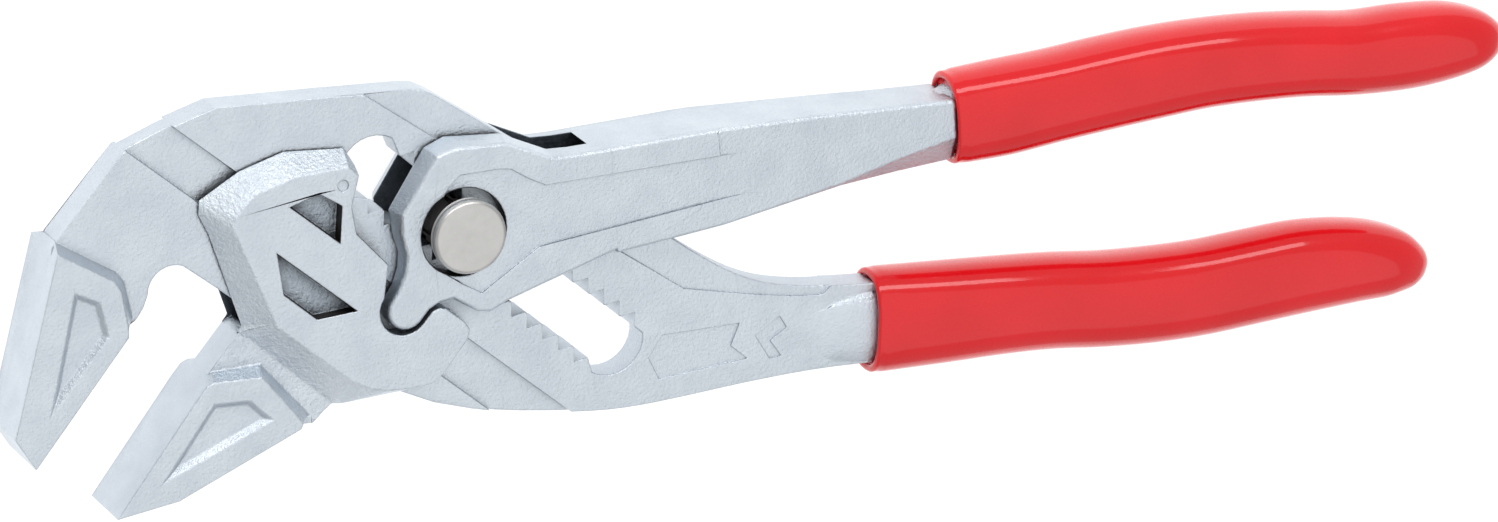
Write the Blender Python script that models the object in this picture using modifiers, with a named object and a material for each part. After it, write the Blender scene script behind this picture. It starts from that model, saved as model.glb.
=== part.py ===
"""Tongue and groove pliers with parallel smooth jaws, about 250 mm long.

The tool lies flat: +Z is the pivot axis and points out of the push button's side, +X points to the
jaws, and the origin is on the pivot axis in the plane that the tool rests on. The head is drawn in a
guide frame whose u axis is the sliding direction of the jaw and whose v axis runs along the jaw
faces; an empty turns that frame into place. Sizes in the guide frame are in millimetres.
"""
import math

import bpy
import bmesh
from mathutils import Matrix, Vector

MM = 0.001

# Driving dimensions, in millimetres and degrees.
GUIDE_TURN = -40.8            # angle of the sliding direction u from +X
HEAD_HALF = 6.4               # half the thickness over the lever's two cheeks
PLATE_HALF = 2.75             # half the thickness of the slotted plate
RELIEF_DEPTH = 0.35           # how far the plate drops beyond its ground zone
CHEEK_INNER = 3.05            # inner faces of the forks, 0.3 off the plate
PAD_HALF = 6.0                # half the width of the gripping jaws
JAW_CHEEK_HALF = 6.2
WEB_HALF = 3.3
GAP = 0.3

PITCH = 3.4                   # adjusting teeth
TOOTH_PHASE = 0.95            # u of the tooth space next to the pivot
FIRST_SPACE, LAST_SPACE = -10, 4
SLOT_LOW_V, SLOT_HIGH_V = -3.5, 4.4      # the two lines of tooth tips
TOOTH_DEPTH = 1.75
TOOTH_HALF = 1.5
SLOT_END_R = 5.6
SLOT_LOW_U, SLOT_HIGH_U = -32.4, 17.9    # centres of the round ends

GROOVE_V = (12.8, 19.9)       # guide groove in the plate
GROOVE_DEPTH = 0.9

PIVOT = (1.2, 0.0)            # the pivot axis in the guide frame
BORE_R = 7.0
BUTTON_R = 5.9
BUTTON_TOP = 9.3
BUTTON_BOTTOM = 7.1
NECK_U, NECK_V = (-3.3, 5.7), (-2.7, 3.5)   # the bolt's rectangular neck
BLOCK_Z = (-2.6, -1.2)        # toothed length of the bolt at rest
COLLAR_R, COLLAR_Z = 6.7, (-3.5, -2.95)
SPRING_BORE_R, SPRING_BORE_TOP = 2.4, 1.6
SPRING_R, SPRING_WIRE, SPRING_TURNS = 1.9, 0.3, 6
SEAT_R, SEAT_Z = 6.7, (-5.65, -5.3)
SEAT_BOSS_R = 4.9
RING_R, RING_HALF_WIDTH, RING_HALF_THICK = 6.3, 0.95, 0.14
RING_Z = -5.95

LOBE_AT, LOBE_R = (1.0, 14.8), 3.1
SOCKET_AT, SOCKET_R = (1.4, 14.9), 4.0

GRIP_WALL = 1.3
GRIP_POWER = 2.5
GRIP_SIDES = 24
TANG_SIDES = 16


def clear_scene():
    for thing in list(bpy.data.objects):
        bpy.data.objects.remove(thing, do_unlink=True)


def new_collection(name):
    made = bpy.data.collections.new(name)
    bpy.context.scene.collection.children.link(made)
    return made


clear_scene()
PARTS = new_collection("tongue_and_groove_pliers")
CUTTERS = new_collection("cutters")

guide = bpy.data.objects.new("guide_frame", None)
turn = Matrix.Rotation(math.radians(GUIDE_TURN), 3, 'Z')
guide.location = Vector((0.0, 0.0, HEAD_HALF * MM)) - turn @ Vector((PIVOT[0] * MM, PIVOT[1] * MM, 0.0))
guide.rotation_euler = (0.0, 0.0, math.radians(GUIDE_TURN))
CUTTERS.objects.link(guide)


def material(name, colour, roughness, metallic):
    made = bpy.data.materials.new(name)
    made.use_nodes = True
    shader = made.node_tree.nodes["Principled BSDF"]
    shader.inputs["Base Color"].default_value = (*colour, 1.0)
    shader.inputs["Roughness"].default_value = roughness
    shader.inputs["Metallic"].default_value = metallic
    return made


SATIN = material("satin_chrome", (0.66, 0.70, 0.75), 0.42, 1.0)
NICKEL = material("button_nickel", (0.74, 0.72, 0.67), 0.3, 1.0)
DARK_STEEL = material("dark_steel", (0.18, 0.18, 0.19), 0.4, 1.0)
SPRING_STEEL = material("spring_steel", (0.45, 0.45, 0.46), 0.35, 1.0)
RED_VINYL = material("red_vinyl", (0.72, 0.012, 0.02), 0.22, 0.0)


# Outlines ------------------------------------------------------------------

def arc(centre, radius, start, end, steps):
    """Points on an arc, angles in degrees, both ends included."""
    points = []
    for i in range(steps + 1):
        angle = math.radians(start + (end - start) * i / steps)
        points.append((centre[0] + radius * math.cos(angle), centre[1] + radius * math.sin(angle)))
    return points


def smooth(points, steps):
    """A Catmull-Rom curve through the points, with the given steps between neighbours."""
    ends = [points[0]] + list(points) + [points[-1]]
    made = []
    for i in range(1, len(ends) - 2):
        p0, p1, p2, p3 = (Vector(ends[i + k]) for k in (-1, 0, 1, 2))
        for k in range(steps):
            t = k / steps
            made.append(tuple(0.5 * (2 * p1 + (p2 - p0) * t + (2 * p0 - 5 * p1 + 4 * p2 - p3) * t * t
                                     + (3 * p1 - p0 - 3 * p2 + p3) * t ** 3)))
    made.append(tuple(points[-1]))
    return made


def grown(points, distance):
    """The outline with every side moved out by a distance."""
    area = sum(a[0] * b[1] - b[0] * a[1] for a, b in zip(points, points[1:] + points[:1]))
    distance = math.copysign(distance, area * distance)
    made = []
    for i, here in enumerate(points):
        before = Vector(here) - Vector(points[i - 1])
        after = Vector(points[(i + 1) % len(points)]) - Vector(here)
        n1 = Vector((before.y, -before.x)).normalized()
        n2 = Vector((after.y, -after.x)).normalized()
        half = (n1 + n2) / (1.0 + n1.dot(n2))
        made.append((here[0] + half.x * distance, here[1] + half.y * distance))
    return made


# Solids --------------------------------------------------------------------

def adopt(obj, cutter=False):
    """Put an object in its collection, under the guide frame."""
    for owner in list(obj.users_collection):
        owner.objects.unlink(obj)
    (CUTTERS if cutter else PARTS).objects.link(obj)
    obj.parent = guide
    if cutter:
        obj.hide_render = True
        obj.display_type = 'WIRE'
    return obj


def flat(name, outline, low, high, cutter=False):
    """A flat outline pulled up between two heights, as a mesh."""
    curve = bpy.data.curves.new(name + "_outline", 'CURVE')
    curve.dimensions = '2D'
    curve.fill_mode = 'BOTH'
    curve.extrude = (high - low) / 2 * MM
    spline = curve.splines.new('POLY')
    spline.points.add(len(outline) - 1)
    for point, (u, v) in zip(spline.points, outline):
        point.co = (u * MM, v * MM, 0.0, 1.0)
    spline.use_cyclic_u = True
    drawn = bpy.data.objects.new(name + "_curve", curve)
    bpy.context.scene.collection.objects.link(drawn)
    bpy.context.view_layer.update()
    evaluated = drawn.evaluated_get(bpy.context.evaluated_depsgraph_get())
    mesh = bpy.data.meshes.new_from_object(evaluated)
    bpy.data.objects.remove(drawn, do_unlink=True)
    bm = bmesh.new()
    bm.from_mesh(mesh)
    bmesh.ops.remove_doubles(bm, verts=bm.verts, dist=1e-6)
    bmesh.ops.dissolve_limit(bm, angle_limit=0.002, verts=bm.verts, edges=bm.edges)
    bmesh.ops.translate(bm, verts=bm.verts, vec=(0, 0, (low + high) / 2 * MM))
    bmesh.ops.recalc_face_normals(bm, faces=bm.faces)
    bm.to_mesh(mesh)
    bm.free()
    mesh.name = name
    return adopt(bpy.data.objects.new(name, mesh), cutter)


def loft(name, rings, cutter=False):
    """A closed skin over rings of equal count, capped at both ends; points in millimetres."""
    bm = bmesh.new()
    rows = [[bm.verts.new([c * MM for c in point]) for point in ring] for ring in rings]
    count = len(rows[0])
    for lower, upper in zip(rows, rows[1:]):
        for i in range(count):
            j = (i + 1) % count
            bm.faces.new((lower[i], lower[j], upper[j], upper[i]))
    bm.faces.new(list(reversed(rows[0])))
    bm.faces.new(rows[-1])
    bmesh.ops.recalc_face_normals(bm, faces=bm.faces)
    mesh = bpy.data.meshes.new(name)
    bm.to_mesh(mesh)
    bm.free()
    return adopt(bpy.data.objects.new(name, mesh), cutter)


def tapered(name, low_outline, low, high_outline, high, cutter=False):
    """A block whose outline changes from one height to the next."""
    return loft(name, [[(u, v, low) for u, v in low_outline], [(u, v, high) for u, v in high_outline]],
                cutter)


def double_taper(name, foot, foot_z, crest, crest_z):
    """A block with one outline about its middle and another on both outer faces."""
    return loft(name, [[(u, v, z) for u, v in shape] for shape, z in
                       ((crest, -crest_z), (foot, -foot_z), (foot, foot_z), (crest, crest_z))], cutter=True)


def drum(name, radius, low, high, centre=PIVOT, sides=48, cutter=False):
    bm = bmesh.new()
    bmesh.ops.create_cone(bm, cap_ends=True, segments=sides, radius1=radius * MM, radius2=radius * MM,
                          depth=(high - low) * MM)
    bmesh.ops.translate(bm, verts=bm.verts,
                        vec=(centre[0] * MM, centre[1] * MM, (low + high) / 2 * MM))
    mesh = bpy.data.meshes.new(name)
    bm.to_mesh(mesh)
    bm.free()
    return adopt(bpy.data.objects.new(name, mesh), cutter)


def boolean(obj, other, operation):
    step = obj.modifiers.new(operation.lower() + "_" + other.name, 'BOOLEAN')
    step.operation = operation
    step.object = other
    return step


def join(obj, *others):
    for other in others:
        boolean(obj, other, 'UNION')


def cut(obj, *others):
    for other in others:
        boolean(obj, other, 'DIFFERENCE')


def finish(obj, mat, angle=32.0):
    """Give the piece its material and shade its round surfaces smooth."""
    obj.data.materials.clear()
    obj.data.materials.append(mat)
    obj.data.shade_smooth()
    obj.data.set_sharp_from_angle(angle=math.radians(angle))


# Handle sections -----------------------------------------------------------

def section_ring(station, sides, shrink=0.0):
    """One ring of a handle: a superellipse across the path at a station."""
    (u, v), angle, width_half, thick_half, power = station
    across = (math.cos(math.radians(angle)), math.sin(math.radians(angle)))
    ring = []
    for i in range(sides):
        turn = 2 * math.pi * (i + 0.5) / sides
        c, s = math.cos(turn), math.sin(turn)
        a = (width_half - shrink) * math.copysign(abs(c) ** (2 / power), c)
        b = (thick_half - shrink) * math.copysign(abs(s) ** (2 / power), s)
        ring.append((u + across[0] * a, v + across[1] * a, b))
    return ring


def path_stations(path, power=GRIP_POWER):
    """Stations along a handle from (u, v, width, half thickness) rows, square to the path.

    A fifth value in a row makes that section squarer than the grips are.
    """
    made = []
    for i, (u, v, width, thick, *squarer) in enumerate(path):
        before, after = path[max(i - 1, 0)], path[min(i + 1, len(path) - 1)]
        heading = math.degrees(math.atan2(after[1] - before[1], after[0] - before[0]))
        made.append(((u, v), heading + 90, width / 2, thick, squarer[0] if squarer else power))
    return made


def grip_sleeve(name, path, cutter=False):
    """A dipped sleeve: outer skin, rolled lip at its mouth, and a blind inside."""
    stations = path_stations(path)
    outer = [section_ring(s, GRIP_SIDES) for s in stations]
    inner = [section_ring(s, GRIP_SIDES, GRIP_WALL) for s in stations[:-3]]
    bm = bmesh.new()
    rows = [[bm.verts.new([c * MM for c in p]) for p in ring] for ring in list(reversed(inner)) + outer]
    for lower, upper in zip(rows, rows[1:]):
        for i in range(len(lower)):
            j = (i + 1) % len(lower)
            bm.faces.new((lower[i], lower[j], upper[j], upper[i]))
    bm.faces.new(list(reversed(rows[0])))
    bm.faces.new(rows[-1])
    bmesh.ops.recalc_face_normals(bm, faces=bm.faces)
    mesh = bpy.data.meshes.new(name)
    bm.to_mesh(mesh)
    bm.free()
    return adopt(bpy.data.objects.new(name, mesh), cutter)


LEVER_PATH = [
    (-59.5, -59.1, 14.9, 5.7), (-65.5, -64.8, 15.2, 6.1), (-71.6, -71.0, 14.7, 6.2),
    (-77.7, -77.3, 14.7, 6.3), (-83.9, -83.5, 14.6, 6.3), (-90.3, -89.5, 14.1, 6.3),
    (-97.2, -95.2, 13.8, 6.3), (-104.3, -100.5, 13.4, 6.3), (-111.6, -105.5, 13.3, 6.2),
    (-118.5, -111.2, 13.6, 6.1), (-124.3, -116.2, 12.5, 5.7), (-128.7, -119.6, 9.8, 4.9),
    (-131.2, -121.5, 6.0, 3.3), (-132.1, -122.1, 2.4, 1.3),
]
FIXED_PATH = [
    (-69.7, -26.3, 16.8, 5.9), (-78.0, -32.9, 16.2, 6.2), (-87.0, -40.1, 15.5, 6.3),
    (-94.0, -45.4, 15.2, 6.3), (-101.3, -50.4, 15.2, 6.3), (-108.4, -55.8, 15.3, 6.3),
    (-115.0, -61.4, 15.2, 6.3), (-121.3, -67.5, 15.1, 6.3), (-127.8, -73.7, 14.9, 6.2),
    (-134.8, -79.4, 13.5, 6.0), (-140.4, -82.9, 11.4, 5.3), (-144.0, -84.6, 8.3, 4.1),
    (-145.9, -85.4, 5.0, 2.7), (-146.7, -85.7, 2.0, 1.1),
]


def tang(name, lead, path):
    """The steel inside a grip: the grip's path made smaller, behind its own lead-in rows."""
    drop = GRIP_WALL + GAP
    inside = [(u, v, width - 2 * drop, thick - drop) for u, v, width, thick in path[:-4]]
    return loft(name, [section_ring(s, TANG_SIDES) for s in path_stations(lead + inside)], cutter=True)


# Fixed leg -----------------------------------------------------------------

def tooth_spaces():
    return [TOOTH_PHASE + PITCH * k for k in range(FIRST_SPACE, LAST_SPACE + 1)]


def slot_side(tips, depth):
    """Tooth tips and spaces along one side of the slot, from low u to high u."""
    points = []
    for centre in tooth_spaces():
        points += [(centre - TOOTH_HALF, tips), (centre - 0.15, tips + depth),
                   (centre + 0.15, tips + depth), (centre + TOOTH_HALF, tips)]
    return points


def slot_outline():
    """The toothed slot with its two round ends."""
    middle = (SLOT_LOW_V + SLOT_HIGH_V) / 2
    high_end = arc((SLOT_HIGH_U, middle), SLOT_END_R, -80, 80, 12)
    low_end = arc((SLOT_LOW_U, middle), SLOT_END_R, 100, 225, 11)
    return (slot_side(SLOT_LOW_V, -TOOTH_DEPTH) + high_end
            + list(reversed(slot_side(SLOT_HIGH_V, TOOTH_DEPTH)[4:])) + low_end)


def make_fixed_leg():
    top_edge = smooth([(17.4, -14.2), (5.0, -15.4), (-12.0, -16.9), (-30.5, -18.0), (-39.8, -18.8),
                       (-46.5, -20.2), (-52.6, -22.9), (-58.8, -26.9), (-64.6, -31.1)], 3)
    low_edge = smooth([(-72.8, -20.9), (-64.7, -14.2), (-56.5, -6.6), (-48.5, 1.3), (-41.8, 7.5),
                       (-34.9, 12.6), (-24.0, 19.4), (-14.1, 23.9)], 3)
    throat = arc((33.3, 32.9), 4.1, -72, 40, 9)
    plate_outline = ([(38.5, 57.0), (38.5, 45.0), (35.5, 39.4), (35.7, 37.6)] + list(reversed(throat))
                     + [(28.4, 28.8), (10.0, 28.4), (-3.0, 26.9)] + list(reversed(low_edge))
                     + list(reversed(top_edge))
                     + [(19.6, -13.7), (21.4, -12.6), (46.1, 6.9), (50.6, 13.9), (54.0, 20.2),
                        (54.2, 38.0), (41.5, 57.5)])
    leg = flat("fixed_leg", list(reversed(plate_outline)), -PLATE_HALF, PLATE_HALF)

    pad = [(35.6, 66.7), (36.2, 46.0), (36.3, 42.4), (37.2, 41.3), (42.0, 37.3), (43.9, 36.7),
           (54.3, 38.3), (43.2, 61.2), (41.5, 64.8)]
    pad_foot = [(35.6, 66.7), (36.2, 46.0), (36.3, 41.0), (36.2, 39.7), (41.0, 35.9), (43.2, 35.4),
                (54.4, 37.0), (43.2, 61.2), (41.5, 64.8)]
    block = double_taper("fixed_pad", pad_foot, PLATE_HALF - 0.3, pad, PAD_HALF)
    lead = [(-59.6, -17.4, 7.0, 2.3, 5.0), (-64.0, -21.3, 11.6, 3.4, 4.0), (-67.2, -24.1, 12.9, 4.0, 3.0)]
    steel = tang("fixed_tang", lead, FIXED_PATH)
    join(leg, block, steel)

    for side in (1, -1):
        floor = side * (PLATE_HALF - GROOVE_DEPTH)
        face = side * (PLATE_HALF + 1.0)
        strip = [(-60.0, GROOVE_V[0]), (62.0, GROOVE_V[0]), (62.0, GROOVE_V[1]), (-60.0, GROOVE_V[1])]
        cut(leg, flat("guide_groove_%d" % side, strip, min(floor, face), max(floor, face), cutter=True))

        relief = ([(27.0, -7.9), (12.0, -8.9), (-24.0, -11.6)] + smooth([(-37.6, -12.8), (-42.5, -15.4),
                  (-48.5, -18.6), (-54.4, -22.1), (-58.2, -24.8)], 3) + [(-60.4, -34.0), (30.0, -34.0), (37.6, -0.2)])
        floor = side * (PLATE_HALF - RELIEF_DEPTH)
        cut(leg, flat("plate_relief_%d" % side, relief, min(floor, face), max(floor, face), cutter=True))

        recess = [(48.1, 41.5), (43.7, 40.5), (39.1, 43.9), (39.0, 58.9)]
        cut(leg, tapered("jaw_recess_%d" % side, grown(recess, -0.8), side * (PAD_HALF - 0.9),
                         grown(recess, 0.1), side * (PAD_HALF + 0.1), cutter=True))

        plaque = [(-39.9, -0.9), (-39.4, -5.0), (-49.3, -13.6), (-50.4, -9.9), (-54.2, -9.9),
                  (-43.6, 0.8)]
        chevron = [(-54.3, -18.2), (-52.9, -13.4), (-57.4, -11.9), (-58.9, -13.3), (-55.5, -14.2),
                   (-56.6, -17.4)]
        for label, shape in (("plaque", plaque), ("chevron", chevron)):
            floor = side * (PLATE_HALF - 0.3)
            cut(leg, flat("%s_%d" % (label, side), shape, min(floor, face), max(floor, face), cutter=True))

    cut(leg, flat("slot", slot_outline(), -8.0, 8.0, cutter=True))
    finish(leg, SATIN)


# Moving jaw ----------------------------------------------------------------

def make_moving_jaw():
    socket = [(u, 2 * SOCKET_AT[1] - v) for u, v in reversed(arc(SOCKET_AT, SOCKET_R, -5, -175, 12))]
    hook = [(SOCKET_AT[0] - SOCKET_R, 12.6), (-3.2, 11.5), (-4.2, 11.0), (-8.2, 11.0), (-9.7, 11.4),
            (-10.4, 12.9), (-10.6, 19.3), (-10.0, 21.6)]
    front = [(8.3, 10.7), (15.8, 9.7), (19.2, 6.8)]
    foot = (front + [(21.6, 1.4), (24.9, 0.3), (32.8, 6.1), (36.9, 12.5), (39.4, 19.6), (38.0, 21.5),
                     (34.8, 22.9), (20.8, 31.4), (20.8, 32.6), (0.9, 33.4), (-1.0, 32.2), (-5.7, 27.6),
                     (-8.2, 24.6)] + list(reversed(hook)) + socket)
    crest = (front + [(21.4, 2.3), (23.6, 2.2), (30.0, 8.2), (33.6, 13.9), (33.9, 18.0), (33.2, 19.9),
                      (31.6, 20.7), (17.8, 27.8), (17.2, 28.1), (1.4, 28.2), (-1.9, 27.6), (-4.9, 26.1),
                      (-7.6, 24.0)] + list(reversed(hook)) + socket)

    jaw = tapered("moving_jaw", foot, CHEEK_INNER, crest, JAW_CHEEK_HALF)
    back = tapered("back_cheek", foot, -CHEEK_INNER, crest, -JAW_CHEEK_HALF, cutter=True)
    web_outline = [(20.0, 31.0), (20.6, 32.4), (20.6, 40.6), (20.6, 43.4), (17.0, 50.0), (3.6, 39.0),
                   (1.0, 37.0), (0.6, 33.4), (0.2, 31.0)]
    web = flat("jaw_web", web_outline, -WEB_HALF, WEB_HALF, cutter=True)

    pad = [(19.6, 66.0), (12.9, 58.3), (3.4, 38.8), (3.7, 37.8), (14.2, 35.7), (20.3, 40.6),
           (20.8, 41.6), (20.8, 44.0)]
    pad_foot = [(19.6, 66.0), (12.9, 58.3), (2.9, 37.7), (2.3, 36.2), (14.6, 34.2), (20.3, 39.4),
                (20.8, 40.6), (20.8, 44.0)]
    block = double_taper("moving_pad", pad_foot, WEB_HALF - 0.3, pad, PAD_HALF)
    join(jaw, web, back, block)

    tongue_half = (GROOVE_V[1] - GROOVE_V[0]) / 2 - GAP
    tongue_v = sum(GROOVE_V) / 2
    tongue_tip = PLATE_HALF - GROOVE_DEPTH + GAP
    for side in (1, -1):
        tongue = [(6.2, tongue_v - tongue_half), (35.6, tongue_v - tongue_half),
                  (35.6, tongue_v + tongue_half), (6.2, tongue_v + tongue_half)]
        low, high = sorted((side * tongue_tip, side * (CHEEK_INNER + 0.4)))
        join(jaw, flat("tongue_%d" % side, tongue, low, high, cutter=True))

        small_window = [(27.6, 12.3), (25.0, 8.2), (20.7, 7.6), (17.2, 12.3)]
        large_window = [(24.6, 19.2), (8.0, 19.2), (12.6, 23.7), (19.6, 23.6)]
        for label, shape in (("small", small_window), ("large", large_window)):
            low, high = sorted((side * (JAW_CHEEK_HALF - 2.1), side * (JAW_CHEEK_HALF + 0.5)))
            cut(jaw, flat("%s_window_%d" % (label, side), shape, low, high, cutter=True))

        recess = [(18.0, 43.2), (13.4, 39.6), (8.3, 40.0), (17.0, 57.4)]
        cut(jaw, tapered("moving_recess_%d" % side, grown(recess, -0.8), side * (PAD_HALF - 0.9),
                         grown(recess, 0.1), side * (PAD_HALF + 0.1), cutter=True))
        low, high = sorted((side * (JAW_CHEEK_HALF - 0.3), side * (JAW_CHEEK_HALF + 1.0)))
        cut(jaw, drum("test_mark_%d" % side, 0.9, low, high, (22.6, 5.0), 16, cutter=True))
    finish(jaw, SATIN)


# Lever ---------------------------------------------------------------------

SHANK_ALONG, SHANK_ACROSS = (-0.719, -0.695), (0.695, -0.719)
# Rows along the shank: distance, top, bottom, half thickness, lower facet's width and height.
SHANK = [
    (24.0, 9.35, -7.6, 6.42, 0.4, 0.4), (42.0, 9.1, -6.7, 6.3, 0.4, 0.4), (50.0, 8.5, -5.9, 5.9, 0.4, 0.4),
    (62.0, 7.5, -4.6, 5.4, 0.5, 0.4), (72.0, 6.5, -4.7, 5.1, 2.6, 1.5), (82.2, 5.6, -4.9, 4.9, 4.4, 2.4),
    (83.3, 4.9, -4.0, 3.9, 3.6, 2.0), (84.2, 3.6, -2.6, 2.8, 2.4, 1.2),
]


def shank_ring(row, edge=0.5):
    """One eight-sided section of the lever's shank."""
    along, top, bottom, thick, facet, drop = row
    shape = [(top, thick - edge), (top - edge, thick), (bottom + facet, thick), (bottom, thick - drop)]
    shape += [(n, -z) for n, z in reversed(shape)]
    return [(along * SHANK_ALONG[0] + n * SHANK_ACROSS[0],
             along * SHANK_ALONG[1] + n * SHANK_ACROSS[1], z) for n, z in shape]


def make_lever():
    lobe = arc(LOBE_AT, LOBE_R, 5, 175, 12)
    beside = [(4.4, 12.8)] + lobe + [(-2.1, 12.6), (-2.8, 10.9), (-4.3, 9.2)]
    tail = [(-22.1, -11.4), (-26.0, -15.6), (-30.0, -24.0), (-28.0, -32.0), (-24.0, -35.9)]
    outer = ([(12.9, -7.0), (11.6, 3.6), (9.4, 6.1), (6.7, 8.1), (5.3, 10.2)] + beside
             + [(-9.0, 8.6), (-10.9, 7.4), (-12.3, 4.3)] + tail
             + [(-21.6, -33.8), (-6.2, -19.6), (-3.4, -17.3), (4.4, -14.9), (11.2, -9.6)])
    inner = ([(14.0, -6.8), (12.5, 4.0), (9.8, 6.4), (6.9, 8.3), (5.4, 10.3)] + beside
             + [(-9.1, 8.7), (-11.1, 7.5), (-12.5, 4.3)] + tail
             + [(-21.6, -33.9), (-6.1, -19.9), (-3.2, -17.6), (5.0, -15.3), (12.4, -9.9)])
    near = 0.6
    rim = grown(outer, -0.45)
    rings = [[(u, v, z) for u, v in shape]
             for shape, z in ((rim, -HEAD_HALF), (outer, near - HEAD_HALF), (inner, -CHEEK_INNER),
                              (inner, CHEEK_INNER), (outer, HEAD_HALF - near), (rim, HEAD_HALF))]
    lever = loft("lever_arm", rings)
    shank = loft("lever_shank", [shank_ring(row) for row in SHANK], cutter=True)
    join(lever, shank, tang("lever_tang", [(-56.5, -56.3, 8.0, 3.2), (-58.5, -58.2, 10.0, 3.9)], LEVER_PATH))

    fork = [(-6.4, -21.4), (40.0, -21.4), (40.0, 40.0), (-60.0, 40.0), (-60.0, -32.3), (-35.0, -28.2)]
    cut(lever, flat("fork_gap", fork, -CHEEK_INNER, CHEEK_INNER, cutter=True))
    cut(lever, drum("pivot_bore", BORE_R, -8.0, 8.0, cutter=True))
    cut(lever, drum("ring_groove", RING_R + RING_HALF_WIDTH + GAP, RING_Z - 0.22, RING_Z + 0.22,
                    cutter=True))

    panel = [(-7.5, 5.9), (-10.7, -4.9), (-40.5, -37.0), (-34.3, -39.4), (-5.1, -13.1), (-2.1, -12.4),
             (1.2, -12.0), (2.9, -10.9), (7.6, -6.7), (8.0, -4.0), (6.0, 4.0), (3.9, 6.2), (0.8, 6.9),
             (-4.0, 6.5)]
    for side in (1, -1):
        low, high = sorted((side * (HEAD_HALF - 0.35), side * (HEAD_HALF + 1.0)))
        cut(lever, flat("panel_%d" % side, panel, low, high, cutter=True))
    finish(lever, SATIN)


# Pivot ---------------------------------------------------------------------

def block_outline():
    """The bolt's toothed length: three teeth along each side."""
    low_v, high_v, flank = SLOT_LOW_V + GAP, SLOT_HIGH_V - GAP, TOOTH_HALF - GAP
    centres = [c for c in tooth_spaces() if abs(c - PIVOT[0]) < 1.2 * PITCH]
    low, high = [], []
    for centre in centres:
        for row, root, tip in ((low, low_v + 0.05, SLOT_LOW_V - TOOTH_DEPTH + 0.4),
                               (high, high_v - 0.05, SLOT_HIGH_V + TOOTH_DEPTH - 0.4)):
            row += [(centre - flank, root), (centre - 0.1, tip), (centre + 0.1, tip),
                    (centre + flank, root)]
    start, end = centres[0] - TOOTH_HALF - 0.1, centres[-1] + TOOTH_HALF
    return [(start, low_v)] + low + [(end, low_v), (end, high_v)] + list(reversed(high)) + [(start, high_v)]


def make_bolt():
    u0, u1, v0, v1 = *NECK_U, *NECK_V
    soft = 0.4
    neck = [(u0, v0 + soft), (u0 + soft, v0), (u1 - soft, v0), (u1, v0 + soft), (u1, v1 - soft),
            (u1 - soft, v1), (u0 + soft, v1), (u0, v1 - soft)]
    bolt = flat("pivot_bolt", neck, COLLAR_Z[0] + 0.05, BUTTON_BOTTOM)
    block = flat("bolt_teeth", block_outline(), BLOCK_Z[0], BLOCK_Z[1], cutter=True)
    collar = drum("bolt_collar", COLLAR_R, COLLAR_Z[0], COLLAR_Z[1], cutter=True)
    stem = drum("bolt_stem", 2.6, 5.0, BUTTON_BOTTOM + 0.9, sides=32, cutter=True)
    join(bolt, block, collar, stem)
    cut(bolt, drum("bolt_spring_bore", SPRING_BORE_R, -8.0, SPRING_BORE_TOP, sides=32, cutter=True))
    finish(bolt, DARK_STEEL)


def turned(name, profile, cutter=False, steps=48):
    """A turned piece from an (r, z) profile that runs down its outer side."""
    mesh = bpy.data.meshes.new(name)
    points = [(r * MM, 0.0, z * MM) for r, z in profile]
    mesh.from_pydata(points, [(i, i + 1) for i in range(len(points) - 1)], [])
    obj = adopt(bpy.data.objects.new(name, mesh), cutter)
    obj.location = (PIVOT[0] * MM, PIVOT[1] * MM, 0.0)
    screw = obj.modifiers.new("turn", 'SCREW')
    screw.axis = 'Z'
    screw.angle = 2 * math.pi
    screw.steps = steps
    screw.render_steps = steps
    screw.use_merge_vertices = True
    screw.merge_threshold = 0.00001
    return obj


def make_button():
    edge = arc((BUTTON_R - 0.75, BUTTON_TOP - 0.8), 0.75, 90, 0, 5)
    seam = BUTTON_BOTTOM + 0.65
    profile = ([(0.0, BUTTON_TOP + 0.05), (BUTTON_R - 2.2, BUTTON_TOP)] + edge
               + [(BUTTON_R, seam + 0.15), (BUTTON_R - 0.22, seam + 0.05), (BUTTON_R - 0.22, seam - 0.1),
                  (BUTTON_R - 0.05, seam - 0.2), (BUTTON_R - 0.1, BUTTON_BOTTOM + 0.02),
                  (2.9, BUTTON_BOTTOM + 0.02), (2.9, BUTTON_BOTTOM + 1.2), (0.0, BUTTON_BOTTOM + 1.2)])
    finish(turned("push_button", profile), NICKEL)


def make_spring():
    coil = bpy.data.curves.new("spring_path", 'CURVE')
    coil.dimensions = '3D'
    coil.bevel_depth = SPRING_WIRE * MM
    coil.bevel_resolution = 1
    coil.use_fill_caps = True
    low, high = SEAT_Z[1] + SPRING_WIRE + 0.05, SPRING_BORE_TOP - SPRING_WIRE - 0.1
    count = SPRING_TURNS * 14
    spline = coil.splines.new('POLY')
    spline.points.add(count)
    for i, point in enumerate(spline.points):
        around = 2 * math.pi * SPRING_TURNS * i / count
        point.co = ((PIVOT[0] + SPRING_R * math.cos(around)) * MM,
                    (PIVOT[1] + SPRING_R * math.sin(around)) * MM,
                    (low + (high - low) * i / count) * MM, 1.0)
    spring = adopt(bpy.data.objects.new("bolt_spring", coil))
    coil.materials.append(SPRING_STEEL)
    return spring


def make_seat_and_ring():
    seat = turned("spring_seat", [(0.0, SEAT_Z[1]), (SEAT_R, SEAT_Z[1]), (SEAT_R, SEAT_Z[0]),
                                  (SEAT_BOSS_R, SEAT_Z[0]), (SEAT_BOSS_R, -HEAD_HALF + 0.2),
                                  (SEAT_BOSS_R - 0.2, -HEAD_HALF), (0.0, -HEAD_HALF)])
    finish(seat, DARK_STEEL)
    opening = 24
    outline = (arc(PIVOT, RING_R + RING_HALF_WIDTH, opening, 360 - opening, 36)
               + arc(PIVOT, RING_R - RING_HALF_WIDTH, 360 - opening, opening, 36))
    ring = flat("retaining_ring", outline, RING_Z - RING_HALF_THICK, RING_Z + RING_HALF_THICK)
    finish(ring, SPRING_STEEL)


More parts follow.
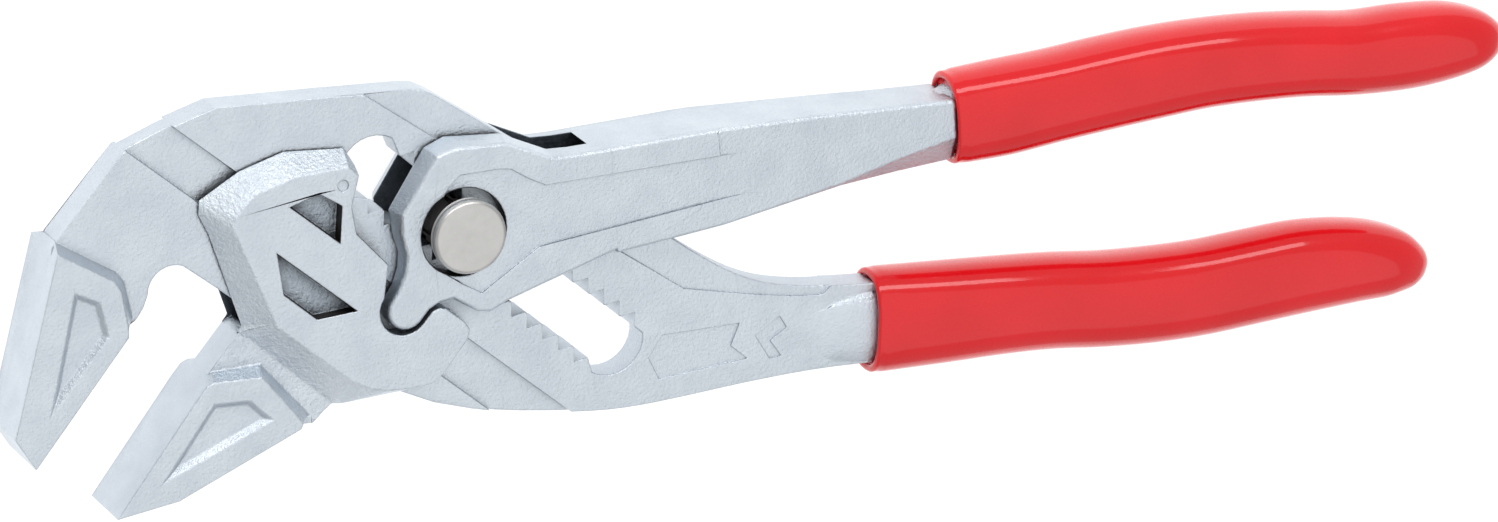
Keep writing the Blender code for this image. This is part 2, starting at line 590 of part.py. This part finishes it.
def make_grips():
    for name, path in (("fixed_grip", FIXED_PATH), ("lever_grip", LEVER_PATH)):
        finish(grip_sleeve(name, path), RED_VINYL, 60.0)


make_fixed_leg()
make_moving_jaw()
make_lever()
make_bolt()
make_button()
make_spring()
make_seat_and_ring()
make_grips()
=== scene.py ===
"""Look of the tongue and groove pliers: satin steel, a nickel button and dipped red grips.

Positions are in metres in the frame's own axes. The head's drawing axes (u along the sliding
direction, v along the jaw faces, millimetres) are those of the CAD, turned by GUIDE_TURN.
"""
import math

import bpy
import bmesh
from mathutils import Matrix, Vector


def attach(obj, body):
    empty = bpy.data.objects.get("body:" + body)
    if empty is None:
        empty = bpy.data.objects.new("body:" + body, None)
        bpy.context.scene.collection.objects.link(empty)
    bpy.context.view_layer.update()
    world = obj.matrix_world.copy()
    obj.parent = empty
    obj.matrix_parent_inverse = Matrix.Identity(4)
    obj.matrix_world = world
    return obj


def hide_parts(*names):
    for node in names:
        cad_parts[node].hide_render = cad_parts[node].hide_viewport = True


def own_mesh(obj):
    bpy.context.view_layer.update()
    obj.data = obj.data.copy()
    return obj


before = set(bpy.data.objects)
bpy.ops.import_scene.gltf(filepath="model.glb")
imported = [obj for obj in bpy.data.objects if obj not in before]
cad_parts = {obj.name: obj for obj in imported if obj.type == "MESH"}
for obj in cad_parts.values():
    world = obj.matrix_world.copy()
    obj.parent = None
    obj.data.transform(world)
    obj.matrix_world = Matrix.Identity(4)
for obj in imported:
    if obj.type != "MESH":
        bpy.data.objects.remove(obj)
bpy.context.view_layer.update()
MM = 0.001

GUIDE_TURN = -40.8             # degrees from the frame's x axis to the drawing's u axis
PIVOT = (1.2, 0.0)             # the lever's pivot in the drawing, at the frame's origin
HEAD_HALF = 6.4                # half the head's thickness, from the rest plane to z = 0
TURN = Matrix.Rotation(math.radians(GUIDE_TURN), 3, 'Z')


def place(u, v, z=0.0):
    """A point given in the head's drawing axes, in the frame's metres."""
    flat = TURN @ Vector(((u - PIVOT[0]) * MM, (v - PIVOT[1]) * MM, 0.0))
    return flat + Vector((0, 0, (z + HEAD_HALF) * MM))


def drawing(point):
    """The head's (u, v, z) of a point in the frame, in millimetres."""
    flat = TURN.transposed() @ Vector((point.x, point.y, 0.0))
    return flat.x / MM + PIVOT[0], flat.y / MM + PIVOT[1], point.z / MM - HEAD_HALF


# Materials -----------------------------------------------------------------

class Nodes:
    """Short calls for building one node material."""

    def __init__(self, name):
        self.material = bpy.data.materials.new(name)
        self.material.use_nodes = True
        self.tree = self.material.node_tree
        self.shader = self.tree.nodes["Principled BSDF"]
        self.coords = self.add("ShaderNodeTexCoord").outputs["Object"]

    def add(self, kind, **settings):
        node = self.tree.nodes.new(kind)
        for key, value in settings.items():
            setattr(node, key, value)
        return node

    def link(self, start, end):
        self.tree.links.new(start, end)

    def noise(self, scale, detail, rough):
        node = self.add("ShaderNodeTexNoise")
        node.inputs["Scale"].default_value = scale
        node.inputs["Detail"].default_value = detail
        node.inputs["Roughness"].default_value = rough
        self.link(self.coords, node.inputs["Vector"])
        return node.outputs["Fac"]

    def spread(self, value, low, high, start=0.3, end=0.7):
        """The value's stretch from start to end, mapped to low and high."""
        node = self.add("ShaderNodeMapRange")
        node.inputs["From Min"].default_value = start
        node.inputs["From Max"].default_value = end
        node.inputs["To Min"].default_value = low
        node.inputs["To Max"].default_value = high
        self.link(value, node.inputs["Value"])
        return node.outputs[0]

    def colours(self, value, first, second):
        """A mix of two colours, the second where the value is 1."""
        node = self.add("ShaderNodeMix", data_type='RGBA')
        sockets = [s for s in node.inputs if s.type == 'RGBA']
        sockets[0].default_value = (*first, 1.0)
        sockets[1].default_value = (*second, 1.0)
        self.link(value, node.inputs[0])
        return [s for s in node.outputs if s.type == 'RGBA'][0]

    def painted_corner_shade(self, tone, least):
        """The tone made darker with painted shade in inside corners and narrow gaps, by ambient
        occlusion.
        """
        open_sky = self.add("ShaderNodeAmbientOcclusion", samples=8)
        open_sky.inputs["Distance"].default_value = 2.2 * MM
        node = self.add("ShaderNodeVectorMath", operation='SCALE')
        self.link(tone, node.inputs[0])
        self.link(self.spread(open_sky.outputs["AO"], least, 1.0, 0.25, 0.92),
                  node.inputs["Scale"])
        return node.outputs[0]

    def bump(self, value, distance, after=None):
        """A normal raised by the value, over another bump's normal where one is given."""
        node = self.add("ShaderNodeBump")
        node.inputs["Strength"].default_value = 1.0
        node.inputs["Distance"].default_value = distance
        self.link(value, node.inputs["Height"])
        if after:
            self.link(after, node.inputs["Normal"])
        return node.outputs[0]

    def set(self, **values):
        """Set the shader's inputs by name, with _ for each space."""
        for key, value in values.items():
            self.shader.inputs[key.replace("_", " ")].default_value = value


def steel(name, colour, dark, rough, grain, pits=0.0, darkest_corner_shade=0.58):
    """Blasted and plated steel: fine grain, cloudy tone, painted shade in corners and, if forged,
    pits.
    """
    n = Nodes(name)
    clouds = n.noise(160.0, 4.0, 0.6)
    fine = n.noise(2000.0, 3.0, 0.7)
    blend = n.add("ShaderNodeMath", operation='MULTIPLY_ADD')
    n.link(fine, blend.inputs[0])
    blend.inputs[1].default_value = 1.1
    n.link(n.spread(clouds, -0.45, 0.35), blend.inputs[2])
    tone = n.colours(n.spread(blend.outputs[0], 0.0, 1.0, 0.1, 0.9), dark, colour)
    # Painted shade: the base colour is darkened in inside corners and narrow gaps.
    n.link(n.painted_corner_shade(tone, darkest_corner_shade), n.shader.inputs["Base Color"])
    n.link(n.spread(fine, rough - 0.07, rough + 0.07), n.shader.inputs["Roughness"])
    normal = n.bump(fine, grain)
    if pits:
        normal = n.bump(n.noise(1500.0, 3.0, 0.6), pits, after=normal)
    n.link(normal, n.shader.inputs["Normal"])
    n.set(Metallic=1.0)
    return n.material


SATIN = steel("satin_steel", (0.66, 0.715, 0.77), (0.585, 0.64, 0.70),
              rough=0.42, grain=0.00014, pits=0.00007)
FORGED = steel("forged_steel", (0.69, 0.745, 0.80), (0.58, 0.635, 0.695),
               rough=0.45, grain=0.0001, pits=0.00024)
# Painted shade: near-black steel for the faces inside the forks of the jaw and the lever.
FORK_INSIDE_SHADE = steel("fork_inside_painted_shade", (0.13, 0.15, 0.175), (0.06, 0.07, 0.085),
               rough=0.55, grain=0.00003, pits=0.00009)
# Painted shade: the windows' floors are a darker steel for the shade in the recess; their pits are
# relief.
WINDOW_FLOOR_SHADE = steel("window_floor_painted_shade", (0.50, 0.56, 0.62), (0.33, 0.375, 0.43),
               rough=0.5, grain=0.0001, pits=0.0003, darkest_corner_shade=0.25)
# Painted shade: near black for the side walls of the jaw's windows and the lever's pivot bore
# wall.
SHADED = steel("window_wall_and_bore_painted_shade", (0.12, 0.105, 0.10), (0.045, 0.038, 0.036),
               rough=0.5, grain=0.000012, pits=0.00005)
BOLT_STEEL = steel("bolt_steel", (0.15, 0.145, 0.14), (0.08, 0.076, 0.073),
                   rough=0.42, grain=0.00001)
SPRING_STEEL = steel("spring_wire", (0.34, 0.34, 0.36), (0.26, 0.26, 0.28),
                     rough=0.35, grain=0.000006)


def nickel():
    """Nickel plate, turned: very fine rings about the button's axis."""
    n = Nodes("button_nickel_plate")
    rings = n.add("ShaderNodeTexWave", wave_type='RINGS', rings_direction='Z')
    rings.inputs["Scale"].default_value = 900.0
    rings.inputs["Distortion"].default_value = 0.6
    n.link(n.coords, rings.inputs["Vector"])
    clouds = n.noise(420.0, 4.0, 0.6)
    n.link(n.colours(n.spread(clouds, 0.0, 1.0), (0.50, 0.496, 0.484), (0.57, 0.566, 0.552)),
           n.shader.inputs["Base Color"])
    n.link(n.spread(clouds, 0.30, 0.38), n.shader.inputs["Roughness"])
    n.link(n.bump(rings.outputs["Fac"], 0.000004), n.shader.inputs["Normal"])
    n.set(Metallic=1.0)
    return n.material


def vinyl():
    """Dipped vinyl: clear red gloss with a slow unevenness and faint orange peel."""
    n = Nodes("dipped_red_vinyl")
    slow = n.noise(70.0, 2.0, 0.5)
    peel = n.noise(520.0, 2.0, 0.5)
    n.link(n.colours(n.spread(slow, 0.0, 1.0), (0.66, 0.004, 0.008), (0.73, 0.007, 0.013)),
           n.shader.inputs["Base Color"])
    n.link(n.spread(peel, 0.24, 0.30), n.shader.inputs["Roughness"])
    n.link(n.bump(slow, 0.00025, after=n.bump(peel, 0.000012)), n.shader.inputs["Normal"])
    n.set(Specular_IOR_Level=0.1, Coat_Weight=1.0, Coat_Roughness=0.07, Coat_IOR=1.45)
    return n.material


NICKEL = nickel()
VINYL = vinyl()


# Steel pieces --------------------------------------------------------------

HARD_EDGE = 24.0               # degrees between two faces from which their edge is rounded
ROOM_PER_WIDTH = 2.5           # room a face needs beside a full-width bevel, in bevel widths
# The pocket, shaded and window zones take darker steel as painted shade.
PLAIN_ZONE, FORGED_ZONE, FORK_INSIDE_SHADE_ZONE, SHADED_ZONE, WINDOW_FLOOR_SHADE_ZONE = range(5)


def object_of(name, bm, material):
    """The finished mesh as an object with one material. It isn't in the scene yet."""
    mesh = bpy.data.meshes.new(name)
    bm.to_mesh(mesh)
    bm.free()
    mesh.shade_smooth()
    mesh.materials.append(material)
    return bpy.data.objects.new(name, mesh)


def settle(obj, body, slot, *nodes):
    """Put a piece in the scene, on its body, in place of its CAD nodes."""
    bpy.context.scene.collection.objects.link(obj)
    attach(obj, body)
    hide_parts(*nodes)
    return obj


def weigh_edges(bm, width):
    """Give each hard edge the share of the bevel width that its faces have room for."""
    layer = bm.edges.layers.float.new("bevel_weight_edge")
    for edge in bm.edges:
        if len(edge.link_faces) != 2 or edge.calc_face_angle(0.0) < math.radians(HARD_EDGE):
            continue
        room = width * ROOM_PER_WIDTH
        for loop in edge.link_loops:
            for corner, other in ((loop, loop.link_loop_prev.edge),
                                  (loop.link_loop_next, loop.link_loop_next.edge)):
                shut = corner.calc_angle()
                if math.radians(12) < shut < math.radians(150):
                    room = min(room, other.calc_length() * math.sin(shut))
        edge[layer] = min(1.0, room / (ROOM_PER_WIDTH * width))


def edged(node, body, finish, width=0.27, zones=None, others=()):
    """The CAD node's own shape with its hard edges rounded over, standing in for the node.

    finish is the material and a slot name that is not used, others the materials of the
    zones after PLAIN_ZONE, and zones gives a face's zone.
    """
    mesh = bpy.data.meshes.new(node + "_edged")
    bm = bmesh.new()
    bm.from_mesh(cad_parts[node].data)
    bmesh.ops.remove_doubles(bm, verts=bm.verts, dist=2e-6)
    bmesh.ops.dissolve_limit(bm, angle_limit=math.radians(0.6), verts=bm.verts, edges=bm.edges)
    weigh_edges(bm, width * MM)
    bmesh.ops.triangulate(bm, faces=bm.faces)
    for face in bm.faces:
        face.smooth = True
        face.material_index = zones(face) if zones else PLAIN_ZONE
    bm.to_mesh(mesh)
    bm.free()
    for mat in (finish[0], *others):
        mesh.materials.append(mat)
    raw = bpy.data.objects.new(node + "_raw", mesh)
    bpy.context.scene.collection.objects.link(raw)
    bevel = raw.modifiers.new("edges", 'BEVEL')
    bevel.limit_method = 'WEIGHT'
    bevel.width = width * MM
    bevel.segments = 2
    bevel.use_clamp_overlap = False
    bevel.loop_slide = False
    steady = raw.modifiers.new("normals", 'WEIGHTED_NORMAL')
    steady.mode = 'FACE_AREA'
    steady.weight = 80
    bpy.context.view_layer.update()
    rounded = raw.evaluated_get(bpy.context.evaluated_depsgraph_get())
    made = bpy.data.meshes.new_from_object(rounded)
    made.name = node + "_visual"
    bpy.data.objects.remove(raw, do_unlink=True)
    return settle(bpy.data.objects.new(node + "_visual", made), body, finish[1], node)


def jaw_zones(face):
    """Zones of the sliding jaw, told apart by a face's depth from the middle and its tilt; the
    windows and the inside of the channel are painted dark as shade.
    """
    u, v, z = drawing(face.calc_center_median())
    depth, upright = abs(z), abs(face.normal.z)
    # Painted shade: the windows' floors.
    if upright > 0.9 and 3.7 < depth < 4.8:
        return WINDOW_FLOOR_SHADE_ZONE
    # Painted shade: the windows' side walls.
    if upright < 0.2 and 3.8 < depth < 6.15 and 7.0 < v < 24.0 and 7.9 < u < 28.0:
        return SHADED_ZONE
    # Painted shade: faces inside the jaw's channel.
    if upright > 0.9 and depth < 3.2:
        return FORK_INSIDE_SHADE_ZONE
    if upright > 0.9 and depth < 3.5:
        return FORGED_ZONE
    if 0.2 < upright < 0.95 and 3.0 < depth < 6.3 and v < 40:
        return FORGED_ZONE
    return PLAIN_ZONE


def lever_zones(face):
    """Zones of the lever: the pivot bore's wall and the inside of the fork are painted dark as
    shade.
    """
    u, v, _ = drawing(face.calc_center_median())
    upright = abs(face.normal.z)
    if upright < 0.2 and math.hypot(u - PIVOT[0], v - PIVOT[1]) < 7.6:
        return SHADED_ZONE
    reach = max(abs(drawing(vert.co)[2]) for vert in face.verts)
    facing_v = (TURN.transposed() @ face.normal).y
    # Painted shade: faces inside the lever's fork.
    if reach < 3.2 and (upright > 0.9 or facing_v > 0.3):
        return FORK_INSIDE_SHADE_ZONE
    return PLAIN_ZONE


edged("fixed_leg", "frame", (SATIN, "satin_chrome"))
edged("moving_jaw", "slide_jaw", (SATIN, "satin_chrome"), zones=jaw_zones,
      others=(FORGED, FORK_INSIDE_SHADE, SHADED, WINDOW_FLOOR_SHADE))
edged("lever_arm", "lever", (SATIN, "satin_chrome"), zones=lever_zones,
      others=(FORGED, FORK_INSIDE_SHADE, SHADED))
edged("pivot_bolt", "bolt", (BOLT_STEEL, "dark_steel"), 0.12)
edged("spring_seat", "carriage", (BOLT_STEEL, "dark_steel"), 0.1)
edged("retaining_ring", "lever", (SPRING_STEEL, "spring_steel"), 0.06)


def make_spring():
    """The coil behind the bolt, carried with the carriage."""
    low, high = -4.95, 1.2     # z of the wire's middle at either end
    radius, wire = 1.9, 0.3    # of the coil and of the wire itself
    turns, steps, sides = 6, 24, 10
    pitch = (high - low) / turns
    lean = math.atan2(pitch, 2 * math.pi * radius)
    bm = bmesh.new()
    rings = []
    for i in range(turns * steps + 1):
        a = 2 * math.pi * i / steps
        out, up = Vector((math.cos(a), math.sin(a), 0)), Vector((0, 0, 1))
        around = Vector((-math.sin(a), math.cos(a), 0))
        side = up * math.cos(lean) - around * math.sin(lean)
        middle = out * radius + up * (low + pitch * i / steps + HEAD_HALF)
        rings.append([bm.verts.new((middle + wire * (math.cos(b) * out + math.sin(b) * side)) * MM)
                      for b in (2 * math.pi * k / sides for k in range(sides))])
    for a, b in zip(rings, rings[1:]):
        for k in range(sides):
            bm.faces.new((a[k], a[(k + 1) % sides], b[(k + 1) % sides], b[k]))
    bm.faces.new(list(reversed(rings[0])))
    bm.faces.new(rings[-1])
    bmesh.ops.recalc_face_normals(bm, faces=bm.faces)
    spring = settle(object_of("bolt_spring_visual", bm, SPRING_STEEL),
                    "carriage", "spring_steel", "bolt_spring")
    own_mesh(spring)


make_spring()


# Button --------------------------------------------------------------------

def turned(name, profile, material):
    """A piece turned about the pivot axis from (radius, z) rows, both ends on the axis."""
    bm = bmesh.new()
    rows = []
    steps = 128
    for radius, z in profile:
        if radius < 1e-6:
            rows.append([bm.verts.new((0, 0, (z + HEAD_HALF) * MM))])
        else:
            rows.append([bm.verts.new((radius * MM * math.cos(2 * math.pi * i / steps),
                                       radius * MM * math.sin(2 * math.pi * i / steps),
                                       (z + HEAD_HALF) * MM)) for i in range(steps)])
    for a, b in zip(rows, rows[1:]):
        for i in range(steps):
            j = (i + 1) % steps
            if len(a) == 1:
                bm.faces.new((a[0], b[i], b[j]))
            elif len(b) == 1:
                bm.faces.new((a[i], b[0], a[j]))
            else:
                bm.faces.new((a[i], b[i], b[j], a[j]))
    bmesh.ops.recalc_face_normals(bm, faces=bm.faces)
    return object_of(name, bm, material)


def make_button():
    """The nickel button: a faintly domed top, a soft edge and two fine grooves round its side."""
    radius, top, bottom, edge = 5.9, 9.3, 7.1, 0.8
    soft = [(radius - edge + edge * math.sin(math.radians(a)),
             top - 0.85 + edge * math.cos(math.radians(a))) for a in range(0, 91, 10)]
    profile = [(0.0, top + 0.04), (2.0, top + 0.03), (3.6, top), (4.6, top - 0.03)] + soft
    for seam in (bottom + 0.72, bottom + 0.34):
        profile += [(radius, seam + 0.10), (radius - 0.05, seam + 0.06),
                    (radius - 0.20, seam + 0.04), (radius - 0.20, seam - 0.04),
                    (radius - 0.06, seam - 0.06), (radius - 0.02, seam - 0.10)]
    profile += [(radius - 0.05, bottom + 0.12), (radius - 0.14, bottom + 0.02),
                (2.95, bottom + 0.02), (2.9, bottom + 1.2), (0.0, bottom + 1.2)]
    button = turned("push_button_visual", profile, NICKEL)
    button.data.set_sharp_from_angle(angle=math.radians(50))
    settle(button, "bolt", "button_nickel", "push_button")


make_button()


# Grips ---------------------------------------------------------------------

POWER, AROUND, BETWEEN = 2.5, 72, 5     # section's superellipse power, its points, steps per row
MOUTH, LIP = 1.1, 0.62                  # how far the mouth runs up the steel, its rolled edge
# Middle (u, v), width and half thickness of each grip, from its mouth to its tip.
UPPER = [
    (-59.5, -59.1, 14.9, 5.7), (-65.5, -64.8, 15.2, 6.1), (-71.6, -71.0, 14.7, 6.2),
    (-77.7, -77.3, 14.7, 6.3), (-83.9, -83.5, 14.6, 6.3), (-90.3, -89.5, 14.1, 6.3),
    (-97.2, -95.2, 13.8, 6.3), (-104.3, -100.5, 13.4, 6.3), (-111.6, -105.5, 13.3, 6.2),
    (-118.5, -111.2, 13.6, 6.1), (-124.3, -116.2, 12.5, 5.7), (-128.7, -119.6, 9.8, 4.9),
    (-131.2, -121.5, 6.0, 3.3), (-132.1, -122.1, 2.4, 1.3),
]
LOWER = [
    (-69.7, -26.3, 16.8, 5.9), (-78.0, -32.9, 16.2, 6.2), (-87.0, -40.1, 15.5, 6.3),
    (-94.0, -45.4, 15.2, 6.3), (-101.3, -50.4, 15.2, 6.3), (-108.4, -55.8, 15.3, 6.3),
    (-115.0, -61.4, 15.2, 6.3), (-121.3, -67.5, 15.1, 6.3), (-127.8, -73.7, 14.9, 6.2),
    (-134.8, -79.4, 13.5, 6.0), (-140.4, -82.9, 11.4, 5.3), (-144.0, -84.6, 8.3, 4.1),
    (-145.9, -85.4, 5.0, 2.7), (-146.7, -85.7, 2.0, 1.1),
]


def eased(rows, steps):
    """Rows on a Catmull-Rom curve through the given ones."""
    ends = [rows[0]] + list(rows) + [rows[-1]]
    made = []
    for i in range(1, len(ends) - 2):
        p0, p1, p2, p3 = (Vector(ends[i + k]) for k in (-1, 0, 1, 2))
        for k in range(steps):
            t = k / steps
            square = (2 * p0 - 5 * p1 + 4 * p2 - p3) * t * t
            cube = (3 * p1 - p0 - 3 * p2 + p3) * t ** 3
            made.append(0.5 * (2 * p1 + (p2 - p0) * t + square + cube))
    made.append(Vector(rows[-1]))
    return made


def grip(name, rows, node, body):
    """A dipped sleeve lofted along its path, with a rolled lip at its mouth."""
    path = eased(rows, BETWEEN)
    axes = []
    for i in range(len(path)):
        ahead = path[min(i + 1, len(path) - 1)] - path[max(i - 1, 0)]
        axes.append(Vector((ahead[0], ahead[1])).normalized())

    def ring(i, wide, thick, shift=0.0):
        """The section at a row of the path, given half its width and thickness."""
        along = axes[i]
        u, v = path[i][0] + along.x * shift, path[i][1] + along.y * shift
        points = []
        for k in range(AROUND):
            a = 2 * math.pi * (k + 0.5) / AROUND
            c, s = math.cos(a), math.sin(a)
            x = wide * math.copysign(abs(c) ** (2 / POWER), c)
            z = thick * math.copysign(abs(s) ** (2 / POWER), s)
            points.append(place(u - along.y * x, v + along.x * x, z))
        return points

    half, thick = path[0][2] / 2, path[0][3]
    rings = [ring(0, half * share, thick * share, 0.35 - MOUTH) for share in (0.25, 0.5, 0.68)]
    for step in range(10):
        a = math.pi * step / 9
        grow = LIP * (1 - math.cos(a))
        rings.append(ring(0, half - 2 * LIP - 0.12 + grow, thick - 2 * LIP - 0.12 + grow,
                          0.45 - MOUTH - 0.9 * LIP * math.sin(a)))
    rings.append(ring(0, half - 0.16, thick - 0.16, 0.9 - MOUTH))
    rings.append(ring(0, half - 0.05, thick - 0.05, 1.6 - MOUTH))
    for i in range(1, len(path)):
        rings.append(ring(i, path[i][2] / 2, path[i][3]))
    tip = len(path) - 1
    for share in (0.8, 0.5, 0.2):
        rings.append(ring(tip, path[tip][2] / 2 * share, path[tip][3] * share,
                          0.25 * math.sqrt(1 - share * share)))
    bm = bmesh.new()
    rows_made = [[bm.verts.new(p) for p in points] for points in rings]
    for a, b in zip(rows_made, rows_made[1:]):
        for i in range(AROUND):
            j = (i + 1) % AROUND
            bm.faces.new((a[i], a[j], b[j], b[i]))
    bm.faces.new(rows_made[-1])
    bm.faces.new(list(reversed(rows_made[0])))
    bmesh.ops.recalc_face_normals(bm, faces=bm.faces)
    settle(object_of(name, bm, VINYL), body, "red_vinyl", node)


grip("lever_grip_visual", UPPER, "lever_grip", "lever")
grip("fixed_grip_visual", LOWER, "fixed_grip", "frame")


# Stage ---------------------------------------------------------------------

def make_floor():
    """A pale floor with a little light of its own, so that it stays white without a red glow."""
    n = Nodes("pale_floor")
    tone = n.noise(3.0, 2.0, 0.5)
    n.link(n.colours(tone, (0.34, 0.34, 0.34), (0.36, 0.36, 0.36)), n.shader.inputs["Base Color"])
    n.set(Roughness=0.9, Emission_Color=(1.0, 1.0, 1.0, 1.0), Emission_Strength=0.86)
    bm = bmesh.new()
    bmesh.ops.create_grid(bm, x_segments=8, y_segments=8, size=3.0)
    mesh = bpy.data.meshes.new("floor")
    bm.to_mesh(mesh)
    bm.free()
    mesh.materials.append(n.material)
    floor = bpy.data.objects.new("floor", mesh)
    floor.location.z = -0.0002
    bpy.context.scene.collection.objects.link(floor)


def make_light(name, where, size, power):
    """A rectangular softbox aimed at the pliers, between the head and their middle."""
    light = bpy.data.lights.new(name, 'AREA')
    light.shape = 'RECTANGLE'
    light.size, light.size_y = size
    light.energy = power
    lamp = bpy.data.objects.new(name, light)
    lamp.location = where
    aim = Vector((-0.03, 0.0, 0.0)) - Vector(where)
    lamp.rotation_euler = aim.to_track_quat('-Z', 'Y').to_euler()
    bpy.context.scene.collection.objects.link(lamp)


def make_world():
    """An even white surround."""
    world = bpy.data.worlds.new("studio")
    bpy.context.scene.world = world
    world.use_nodes = True
    back = world.node_tree.nodes["Background"]
    back.inputs["Color"].default_value = (1.0, 1.0, 1.0, 1.0)
    back.inputs["Strength"].default_value = 0.6


def make_camera():
    """The photograph's view: tipped 30 degrees about the jaw faces' direction, long lens."""
    tip, roll = math.radians(30.0), math.radians(36.4)
    away, shown = 1400.0, (44.96, 5.573)     # distance and the picture's middle, millimetres
    toward = Vector((-math.sin(tip), 0.0, -math.cos(tip)))
    level = Vector((-math.cos(tip), 0.0, math.sin(tip)))
    right = math.cos(roll) * level + math.sin(roll) * Vector((0, -1, 0))
    down = math.sin(roll) * level - math.cos(roll) * Vector((0, -1, 0))
    spot = shown[0] * right + shown[1] * down - away * toward
    camera = bpy.data.cameras.new("photo_camera")
    camera.lens = 220.4
    camera.sensor_width = 36.0
    camera.clip_start = 0.05
    obj = bpy.data.objects.new("photo_camera", camera)
    axes = Matrix([TURN @ right, TURN @ -down, TURN @ -toward]).transposed()
    obj.matrix_world = Matrix.Translation(place(*spot)) @ axes.to_4x4()
    bpy.context.scene.collection.objects.link(obj)
    bpy.context.scene.camera = obj


make_floor()
make_world()
make_light("softbox_top", (-0.1, 0.2, 1.1), (1.8, 1.8), 5.2)
make_light("softbox_side", (0.0, -0.80, 0.62), (1.3, 0.25), 4.6)
make_camera()
bpy.context.scene.view_settings.view_transform = 'Standard'
